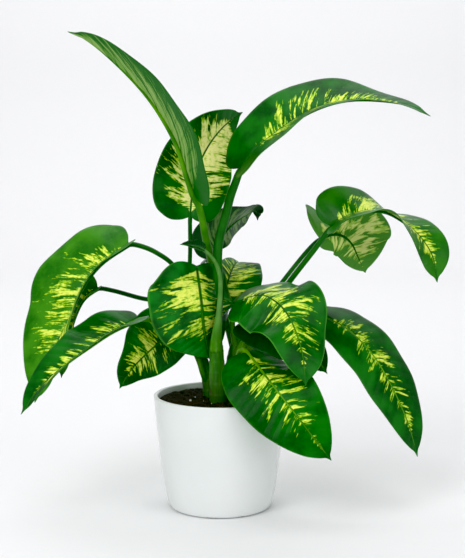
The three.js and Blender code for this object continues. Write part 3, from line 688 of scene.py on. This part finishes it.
def splash_group():
    """Where a blade is splashed: streaks that follow its lateral veins outwards from the midrib."""
    defaults = {
        "Length": 150, "Left": 0.6, "Right": 0.6, "Cover": 0.0, "Start": 0.05, "End": 0.95, "Seed": 0,
        "Slant": 0.0, "Rib": 1.3, "Veins": BLADE["veins"],
    }
    tree, s, given, out = node_group("leaf splashes", defaults, ["Lime", "Cream", "Midrib", "Vein"])
    vein, span, reach = s.field("vein"), s.field("span"), s.field("reach")
    along = s.math("DIVIDE", vein, given["Length"])
    is_left = s.math("GREATER_THAN", span, 0.0)
    half = s.add(
        "ShaderNodeMix", {"Factor": is_left, 2: given["Right"], 3: given["Left"]}, data_type="FLOAT"
    ).outputs[0]
    opening = s.smooth(along, given["Start"], s.math("ADD", given["Start"], 0.16))
    closing = s.smooth(along, s.math("SUBTRACT", given["End"], 0.35), given["End"])
    window = s.math("MULTIPLY", opening, s.math("SUBTRACT", 1.0, closing))
    width = s.math("ADD", s.math("MULTIPLY", half, window), 0.02)
    outwards = s.math("MINIMUM", s.math("DIVIDE", reach, width), 3.0)
    seed = given["Seed"]
    slanted = s.math("MULTIPLY_ADD", s.math("ABSOLUTE", span), s.math("MULTIPLY", given["Slant"], -1.0), vein)

    def strokes(across, lengthways, detail):
        """Noise drawn out along the veins: how fine it is across them and along them, per mm."""
        point = s.point(s.math("MULTIPLY", slanted, across), s.math("MULTIPLY", span, lengthways), seed)
        return s.math("SUBTRACT", s.noise(point, 1.0, detail, 0.6, 0.5), 0.5)

    phase = s.math("FRACT", s.math("MULTIPLY", along, given["Veins"]))
    gap = s.smooth(s.math("ABSOLUTE", s.math("SUBTRACT", phase, 0.5)), 0.36, 0.5)
    total = s.math("MULTIPLY_ADD", s.math("MULTIPLY", outwards, outwards), -0.75, 0.2)
    total = s.math("ADD", total, given["Cover"])
    total = s.math("MULTIPLY_ADD", strokes(0.06, 0.02, 1.0), 2.4, total)
    total = s.math("MULTIPLY_ADD", strokes(0.20, 0.034, 2.0), 5.4, total)
    total = s.math("MULTIPLY_ADD", strokes(0.60, 0.09, 2.0), 3.2, total)
    total = s.math("MULTIPLY_ADD", gap, -0.3, total)
    lime = s.smooth(total, 0.0, 0.26)
    cream = s.smooth(total, 0.25, 0.95)
    half_rib = given["Rib"]
    line = s.math(
        "SUBTRACT", 1.0, s.smooth(s.math("ABSOLUTE", span), s.math("MULTIPLY", half_rib, 0.6), half_rib)
    )
    for name, value in (("Lime", lime), ("Cream", cream), ("Midrib", line), ("Vein", gap)):
        tree.links.new(value, out.inputs[name])
    return tree


def ripple_group():
    """Fine surface relief of a leaf or stem: a soft grain with a finer one on it."""
    tree, s, given, out = node_group("plant skin relief", {"Scale": 400.0}, ["Height"])
    place = s.place()
    soft = s.noise(place, given["Scale"], 3.0)
    fine = s.noise(place, s.math("MULTIPLY", given["Scale"], 4.0), 2.0)
    tree.links.new(s.math("MULTIPLY_ADD", fine, 0.35, soft), out.inputs["Height"])
    return tree


SPLASHES = splash_group()
SKIN_RELIEF = ripple_group()
SHEATH_ENDS = (0.188, 0.240)  # metres above the pot's underside, between which a sheath fades out


def new_material(name):
    """A material, its nodes and its shader."""
    material = bpy.data.materials.new(name)
    material.use_nodes = True
    shade = Shading(material.node_tree)
    shader = next(n for n in material.node_tree.nodes if n.type == "BSDF_PRINCIPLED")
    return material, shade, shader


def wire(shade, shader, **inputs):
    """Joins or sets the shader's inputs, with _ for a space in their names."""
    for name, value in inputs.items():
        socket = shader.inputs[name.replace("_", " ")]
        if isinstance(value, bpy.types.NodeSocket):
            shade.tree.links.new(value, socket)
        else:
            socket.default_value = value


def bump(shade, height, distance, strength):
    """The normal of a surface whose height 0 to 1 is distance high, in metres."""
    inputs = {"Height": height, "Distance": distance, "Strength": strength}
    return shade.add("ShaderNodeBump", inputs).outputs["Normal"]


def leaf_skin(name, look):
    """A glossy green blade with lime and cream splashes, a painted highlight along its margin, and a paler,
    duller underside.
    """
    material, s, shader = new_material(name + " blade")
    length = Leaf(LEAVES[name]).length
    given = {"Length": length, "Left": look["left"], "Right": look["right"], "Cover": look["cover"],
             "Start": look["start"], "End": look["end"], "Seed": look["seed"], "Slant": look["slant"],
             "Rib": look["half_rib"]}
    splash = s.add("ShaderNodeGroup", node_tree=SPLASHES)
    for socket, value in given.items():
        splash.inputs[socket].default_value = value
    under = s.field("under")
    cloudy = s.noise(s.place(), 34.0, 3.0)
    mottled = s.noise(s.place(), 260.0, 2.0)
    green = s.mix(s.smooth(cloudy, 0.36, 0.66), look["dark"], look["green"])
    green = s.mix(s.math("MULTIPLY", s.smooth(mottled, 0.4, 0.7), 0.22), green, look["green"])
    lime = s.mix(s.smooth(mottled, 0.36, 0.64), look["lime"], look["bright_lime"])
    cream = s.mix(s.smooth(mottled, 0.20, 0.55), look["bright_lime"], look["pale"])
    colour = s.mix(splash.outputs["Lime"], green, lime)
    colour = s.mix(s.math("MULTIPLY", splash.outputs["Cream"], look["cream"]), colour, cream)
    colour = s.mix(s.math("MULTIPLY", splash.outputs["Midrib"], look["rib"]), colour, look["rib_colour"])
    # A lighter green along the margin is painted highlight, where light catches the leaf's edge.
    edge = s.math("MULTIPLY", s.smooth(s.field("reach"), 0.95, 0.99), look["edge"])
    colour = s.mix(edge, colour, look["margin_highlight_colour"])
    back = s.mix(splash.outputs["Lime"], look["back"], look["back_lime"])
    back = s.mix(s.math("MULTIPLY", splash.outputs["Cream"], look["cream"]), back, look["back_pale"])
    colour = s.mix(under, colour, back)
    relief = s.add("ShaderNodeGroup", {"Scale": 350.0}, node_tree=SKIN_RELIEF).outputs["Height"]
    height = s.math("MULTIPLY_ADD", splash.outputs["Vein"], -0.5, relief)
    rough = s.spread(cloudy, look["rough"], look["rough"] + 0.12)
    rough = s.math("MULTIPLY_ADD", under, 0.15, rough)
    wire(s, shader, Base_Color=colour, Roughness=rough, Normal=bump(s, height, 0.0002, 0.6))
    shader.inputs["Specular IOR Level"].default_value = look["shine"]
    return material


def stalk_skin(name, look):
    """A smooth leaf stalk, green with paler flecks, whose foot has the colour of the sheath."""
    material, s, shader = new_material(name + " stalk")
    place = s.place()
    long_flecks = s.add("ShaderNodeMapping", {"Vector": place, "Scale": (260, 260, 70)}).outputs[0]
    flecks = s.smooth(s.noise(long_flecks, 1.0, 2.0), 0.5, 0.72)
    broad = s.noise(place, 30.0, 2.0)
    dark, pale = look["stalk"]
    colour = s.mix(s.smooth(broad, 0.3, 0.7), dark, pale)
    upright = s.add("ShaderNodeSeparateXYZ", {0: place}).outputs["Z"]
    sheath = s.math("SUBTRACT", 1.0, s.smooth(upright, *SHEATH_ENDS))
    colour = s.mix(sheath, colour, s.mix(s.smooth(broad, 0.3, 0.7), *look["sheath"]))
    colour = s.mix(s.math("MULTIPLY", flecks, 0.2), colour, [min(1.5 * c, 1.0) for c in pale])
    relief = s.add("ShaderNodeGroup", {"Scale": 500.0}, node_tree=SKIN_RELIEF).outputs["Height"]
    wire(s, shader, Base_Color=colour, Roughness=s.spread(broad, 0.36, 0.48))
    wire(s, shader, Normal=bump(s, relief, 0.00015, 0.6))
    shader.inputs["Specular IOR Level"].default_value = 0.12
    return material


def cane_skin():
    """The thick stem: olive green, darker and browner towards the soil."""
    material, s, shader = new_material("green cane")
    place = s.place()
    upright = s.add("ShaderNodeSeparateXYZ", {0: place}).outputs["Z"]
    foot = s.math("SUBTRACT", 1.0, s.smooth(upright, 0.122, 0.165))
    streaks = s.noise(s.add("ShaderNodeMapping", {"Vector": place, "Scale": (220, 220, 26)}).outputs[0])
    blotches = s.noise(place, 70.0, 4.0, 0.6)
    colour = s.mix(s.smooth(streaks, 0.35, 0.7), *CANE_GREEN)
    colour = s.mix(s.math("MULTIPLY", foot, 0.75), colour, (0.022, 0.060, 0.001))
    brown = s.math("MULTIPLY", s.smooth(blotches, 0.56, 0.7), s.math("MULTIPLY_ADD", foot, 0.5, 0.15))
    colour = s.mix(brown, colour, (0.075, 0.055, 0.015))
    relief = s.add("ShaderNodeGroup", {"Scale": 300.0}, node_tree=SKIN_RELIEF).outputs["Height"]
    wire(s, shader, Base_Color=colour, Roughness=s.spread(blotches, 0.38, 0.55))
    wire(s, shader, Normal=bump(s, relief, 0.0003, 0.7))
    shader.inputs["Specular IOR Level"].default_value = 0.2
    return material


def glaze():
    """White glazed earthenware with a faint unevenness."""
    material, s, shader = new_material("white glaze")
    place = s.place()
    cloudy = s.noise(place, 9.0, 3.0)
    fine = s.noise(place, 160.0, 3.0)
    colour = s.mix(s.smooth(cloudy, 0.3, 0.7), (0.74, 0.78, 0.765), (0.80, 0.83, 0.82))
    wire(s, shader, Base_Color=colour, Roughness=s.spread(fine, 0.16, 0.28))
    wire(s, shader, Normal=bump(s, s.math("MULTIPLY_ADD", fine, 0.1, cloudy), 0.0009, 0.5))
    shader.inputs["Coat Weight"].default_value = 0.3
    shader.inputs["Coat Roughness"].default_value = 0.08
    return material


def potting_mix():
    """Dark peat with browner fibres and crumbs."""
    material, s, shader = new_material("potting mix")
    place = s.place()
    cells = s.add("ShaderNodeTexVoronoi", {"Vector": place, "Scale": 330.0})
    tone = s.add("ShaderNodeSeparateColor", {0: cells.outputs["Color"]}).outputs[0]
    fine = s.noise(place, 900.0, 3.0, 0.7)
    fibres = s.noise(s.add("ShaderNodeMapping", {"Vector": place, "Scale": (900, 160, 400)}).outputs[0])
    colour = s.mix(tone, (0.008, 0.003, 0.0025), (0.030, 0.014, 0.010))
    colour = s.mix(s.smooth(fibres, 0.62, 0.72), colour, (0.080, 0.040, 0.022))
    height = s.math("MULTIPLY_ADD", fine, 0.6, cells.outputs["Distance"])
    wire(s, shader, Base_Color=colour, Roughness=s.spread(fine, 0.8, 1.0))
    wire(s, shader, Normal=bump(s, height, 0.0012, 0.9))
    shader.inputs["Specular IOR Level"].default_value = 0.1
    return material


def perlite():
    """Pitted off-white mineral grains, greyer in their pits as painted shade."""
    material, s, shader = new_material("perlite")
    pits_and_pit_shade = s.noise(s.place(), 1500.0, 3.0)
    # The grey where the pits sink is painted shade.
    wire(s, shader, Base_Color=s.mix(pits_and_pit_shade, (0.45, 0.44, 0.41), (0.80, 0.79, 0.76)), Roughness=0.9)
    wire(s, shader, Normal=bump(s, pits_and_pit_shade, 0.0004, 0.8))
    return material


def plain_paint(name, colour):
    """Matt white paint for the floor and the wall."""
    material, s, shader = new_material(name)
    grain = s.noise(s.place(), 60.0, 2.0)
    wire(s, shader, Base_Color=s.mix(grain, colour, [c * 0.985 for c in colour]), Roughness=0.75)
    return material


# How each blade is coloured: the splashed share of its two halves, how densely, from where to where
# along it, how pale, its greens, its midrib, a painted highlight along its margin, its underside, its gloss
# and its stalk.
GREEN = {"dark": (0.001, 0.062, 0.001), "green": (0.006, 0.145, 0.003)}
# A darker copy of the leaf green: painted shade, for the leaves that lie in shade.
SHADE_DARKENED_GREEN = {"dark": (0.001, 0.036, 0.002), "green": (0.003, 0.075, 0.003)}
SUNLIT_GREEN = {"dark": (0.010, 0.130, 0.001), "green": (0.045, 0.235, 0.005)}
STALK_GREEN = [(0.003, 0.070, 0.002), (0.014, 0.135, 0.006)]
LIME_STALK = [(0.014, 0.140, 0.001), (0.085, 0.290, 0.004)]
# An olive green made brighter as painted light, for stalks and sheaths that lie in shadow.
LIT_OLIVE_STALK = [(0.045, 0.200, 0.001), (0.110, 0.320, 0.004)]
GREY_STALK = [(0.060, 0.200, 0.030), (0.140, 0.310, 0.080)]
CANE_GREEN = [(0.014, 0.120, 0.001), (0.050, 0.210, 0.002)]
PLAIN = {
    "left": 0.6, "right": 0.6, "cover": 0.0, "start": 0.03, "end": 0.97, "cream": 0.85,
    "slant": 0.0, "half_rib": 1.3, "edge": 0.3, "margin_highlight_colour": (0.060, 0.270, 0.020),
    "lime": (0.110, 0.370, 0.003), "bright_lime": (0.430, 0.660, 0.012), "pale": (0.860, 0.930, 0.150),
    "rib": 0.9, "rib_colour": (0.008, 0.110, 0.004), "stalk": STALK_GREEN, "sheath": CANE_GREEN,
    "rough": 0.28, "shine": 0.17,
    "back": (0.030, 0.180, 0.010), "back_lime": (0.160, 0.360, 0.030), "back_pale": (0.420, 0.560, 0.140),
    **GREEN,
}
OWN_LOOKS = {
    "leaf_top_left": {
        "stalk": LIME_STALK, "rib_colour": (0.180, 0.420, 0.010), "cover": 0.45, "left": 0.62, "right": 0.62,
        "slant": 2.4, "end": 1.2,
        "back": (0.006, 0.120, 0.002), "back_lime": (0.110, 0.300, 0.026), "back_pale": (0.270, 0.420, 0.120),
    },
    "leaf_top_back": {
        "cover": 0.7, "left": 0.72, "right": 0.80, "cream": 1.0, "pale": (0.900, 0.900, 0.330),
    },
    "leaf_top_right": {"cover": -0.1, "start": 0.08},
    # This leaf stands in shade: its darker, greyer greens, lime and underside are painted shade.
    "leaf_shaded_back": {
        "cover": 0.3, "cream": 0.35, "left": 0.9, "right": 0.9,
        "dark": (0.008, 0.045, 0.008), "green": (0.014, 0.075, 0.012),
        "lime": (0.060, 0.170, 0.020), "bright_lime": (0.170, 0.300, 0.060),
        "back": (0.010, 0.060, 0.010), "back_lime": (0.060, 0.170, 0.030), "back_pale": (0.260, 0.380, 0.110),
    },
    "leaf_rolled": {"cover": -2.0, "stalk": GREY_STALK, **SHADE_DARKENED_GREEN},
    "leaf_middle_front": {
        "cover": 0.15, "left": 0.7, "right": 0.7, "end": 0.85, "half_rib": 2.8, "edge": 0.8,
        "green": (0.008, 0.190, 0.010),
    },
    "leaf_middle_back": {"cover": 0.1, "left": 0.75, "right": 0.7},
    "leaf_front_right": {"cover": -0.05, "left": 0.62, "right": 0.45, "edge": 0.9, "sheath": LIT_OLIVE_STALK},
    "leaf_below_right": {"cover": -1.0, "edge": 0.1, "shine": 0.08, "sheath": LIT_OLIVE_STALK, **SHADE_DARKENED_GREEN},
    "leaf_over_pot": {"cover": -0.1, "left": 0.6, "right": 0.58, "sheath": LIT_OLIVE_STALK, "shine": 0.09},
    "leaf_right": {"cover": -0.2, "left": 0.5, "right": 0.42, "sheath": LIT_OLIVE_STALK},
    "leaf_far_right_upper": {"cover": 0.3, "dark": (0.006, 0.110, 0.001), "green": (0.022, 0.180, 0.002)},
    # This leaf's underside faces the bright wall: its bright underside colours are painted light shining
    # through the blade.
    "leaf_far_right_lower": {
        "cover": 0.15, "left": 0.7, "right": 0.72, "pale": (0.780, 0.800, 0.260),
        "back": (0.080, 0.290, 0.030), "back_lime": (0.360, 0.600, 0.070), "back_pale": (0.850, 0.900, 0.320),
    },
    "leaf_far_left": {"cover": 0.15, "half_rib": 2.0, "left": 0.7, "right": 0.55, "rib": 0.3, **SUNLIT_GREEN},
    "leaf_lower_left": {"cover": -0.1, "left": 0.6, "right": 0.42, "stalk": LIT_OLIVE_STALK},
    "leaf_left_small": {"cover": -0.3, **SUNLIT_GREEN},
    "leaf_front_left": {"cover": 0.2, "stalk": LIT_OLIVE_STALK, "edge": 0.5},
}
LOOKS = {
    name: {**PLAIN, "seed": 3.7 * i, **OWN_LOOKS.get(name, {})} for i, name in enumerate(LEAVES)
}


# ---- the plant -------------------------------------------------------------------------------------

pot_piece()
soil_piece()
perlite_piece()
for name, facts in CANES.items():
    cane_piece(name, facts)
for name, facts in LEAVES.items():
    leaf_piece(name, facts)

# ---- the studio ------------------------------------------------------------------------------------


def studio_sweep():
    """A pale floor that curves up into the wall behind."""
    depth, bend, high, wide = 2.8, 0.6, 3.4, 4.5
    profile = [(-3.0, 0.0), (-1.0, 0.0), (0.0, 0.0), (depth - bend, 0.0)]
    for step in range(1, 12):
        t = math.radians(90 * step / 12)
        profile.append((depth - bend + bend * math.sin(t), bend * (1 - math.cos(t))))
    profile += [(depth, bend), (depth, high)]
    mesh = bpy.data.meshes.new("studio_floor")
    points = [(x, y, z) for y, z in profile for x in (-wide, wide)]
    faces = [(2 * i, 2 * i + 1, 2 * i + 3, 2 * i + 2) for i in range(len(profile) - 1)]
    mesh.from_pydata(points, [], faces)
    mesh.polygons.foreach_set("use_smooth", np.ones(len(faces), bool))
    floor = bpy.data.objects.new("studio_floor", mesh)
    bpy.context.scene.collection.objects.link(floor)
    floor.data.materials.append(plain_paint("matt white floor", (0.86, 0.86, 0.87)))


def softbox(name, place, aim, size, watts):
    """A wide soft lamp that looks at the point aim."""
    light = bpy.data.lights.new(name, "AREA")
    light.shape = "RECTANGLE"
    light.size, light.size_y = size
    light.energy = watts
    lamp = bpy.data.objects.new(name, light)
    lamp.location = place
    lamp.rotation_euler = (Vector(aim) - Vector(place)).to_track_quat("-Z", "Y").to_euler()
    bpy.context.scene.collection.objects.link(lamp)


def studio_light():
    """Dim air all round, a key from the left front, a fill, a top lamp and one for the wall."""
    world = bpy.data.worlds.new("studio air")
    bpy.context.scene.world = world
    world.use_nodes = True
    background = world.node_tree.nodes["Background"]
    background.inputs["Color"].default_value = (0.97, 0.98, 1.0, 1)
    background.inputs["Strength"].default_value = 0.36
    softbox("key softbox", (-1.2, -1.9, 1.7), (0, 0, 0.25), (1.6, 1.6), 39.5)
    softbox("fill softbox", (1.7, -1.5, 1.1), (0, 0, 0.25), (1.4, 1.8), 12.6)
    softbox("top softbox", (0, -0.1, 2.4), (0, 0, 0.2), (1.8, 1.8), 18)
    softbox("wall wash", (0, 1.5, 2.6), (0, 2.7, 0.5), (3.5, 0.8), 34)


EYE = {"place": (0.014, -1.494, 0.441), "tilt": 6.93, "lens": 86.77}


def camera():
    """The photo's viewpoint, which looks a little down on the plant."""
    lens = bpy.data.cameras.new("camera")
    lens.lens = EYE["lens"]
    lens.clip_start = 0.05
    eye = bpy.data.objects.new("camera", lens)
    eye.location = EYE["place"]
    eye.rotation_euler = (math.radians(90 - EYE["tilt"]), 0, 0)
    bpy.context.scene.collection.objects.link(eye)
    bpy.context.scene.camera = eye


def picture_tone():
    """Plain colours, with the faint haze taken out of the darks."""
    tone = bpy.context.scene.view_settings
    tone.view_transform = "Standard"
    tone.use_curve_mapping = True
    tone.curve_mapping.black_level = (0.010, 0.003, 0.008)


studio_sweep()
studio_light()
camera()
picture_tone()
